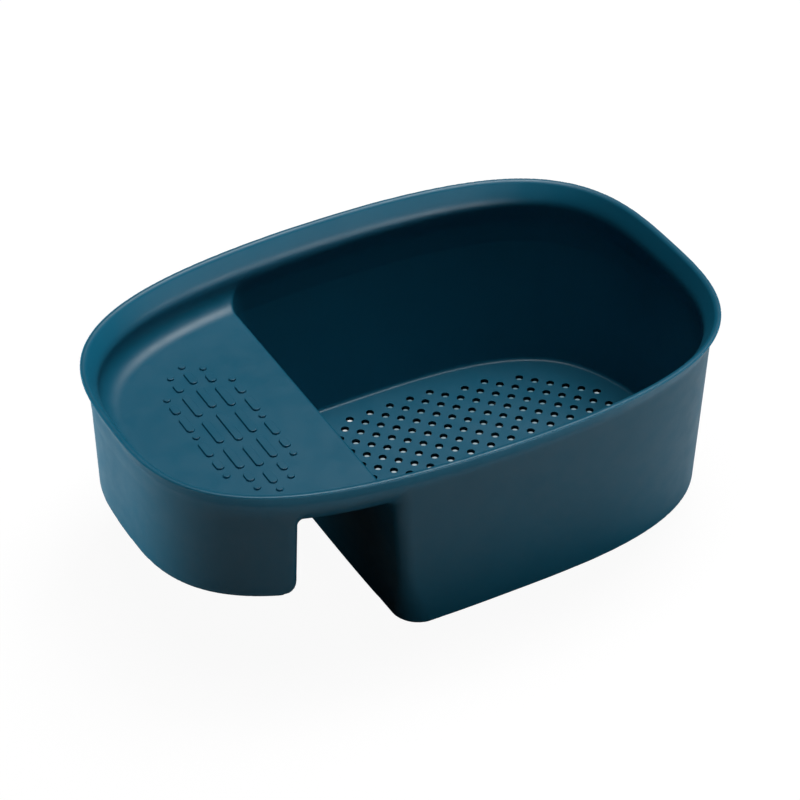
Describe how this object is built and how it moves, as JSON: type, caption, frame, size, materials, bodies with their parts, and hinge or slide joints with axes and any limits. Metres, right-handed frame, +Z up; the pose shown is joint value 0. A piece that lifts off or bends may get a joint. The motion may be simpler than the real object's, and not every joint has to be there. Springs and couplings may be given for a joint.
{
  "type": "sink drain basket",
  "caption": "Saddle-type sink strainer: deep oval basket with a perforated floor and a shallow anti-slip tray that bridges a sink divider, with a hanging skirt.",
  "frame": {"origin": "middle of the footprint, at the underside of the deep basket's floor, which rests on the surface", "axes": "+Z up; +X along the length, from the tray end to the rounded end of the deep basket; the object is mirror-symmetric about the XZ plane"},
  "size_m": [0.2039, 0.1344, 0.0702],
  "materials": {
    "rim_plastic": "satin moulded polypropylene, dark teal blue",
    "wall_plastic": "fine matte moulded polypropylene, dark teal blue",
    "floor_plastic": "fine matte moulded polypropylene, dark teal blue",
    "saddle_plastic": "fine matte moulded polypropylene, dark teal blue",
    "deck_plastic": "satin moulded polypropylene, dark teal blue",
    "skirt_plastic": "fine matte moulded polypropylene, dark teal blue"
  },
  "bodies": {
    "root": {"rim_lip": "rim_plastic", "basket_wall": "wall_plastic", "basket_floor": "floor_plastic", "saddle_wall": "saddle_plastic", "tray_deck": "deck_plastic", "tray_skirt": "skirt_plastic"}
  },
  "joints": []
}
